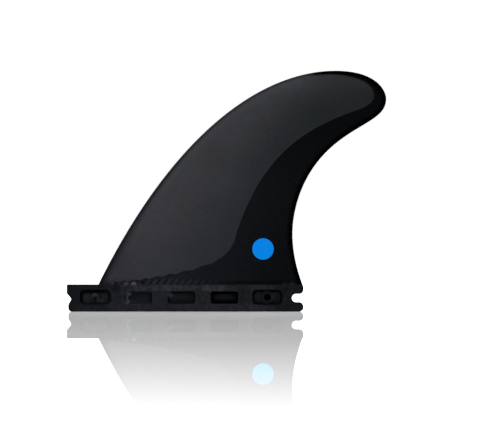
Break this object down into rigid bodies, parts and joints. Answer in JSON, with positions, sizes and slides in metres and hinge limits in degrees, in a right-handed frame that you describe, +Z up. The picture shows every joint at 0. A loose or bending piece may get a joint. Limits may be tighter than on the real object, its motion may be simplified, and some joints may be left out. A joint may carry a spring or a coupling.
{
  "type": "surfboard fin",
  "caption": "Raked, foiled surfboard fin with one long base tab, notched in front, slotted behind and pocketed on both sides, which drops into a fin box.",
  "frame": {"origin": "middle of the base tab's bottom face", "axes": "+X towards the trailing edge, +Y across the thickness, +Z up the blade from the tab"},
  "size_m": [0.1526, 0.007, 0.1151],
  "materials": {
    "black_composite": "satin"
  },
  "bodies": {
    "root": {"fin": "black_composite"}
  },
  "joints": []
}
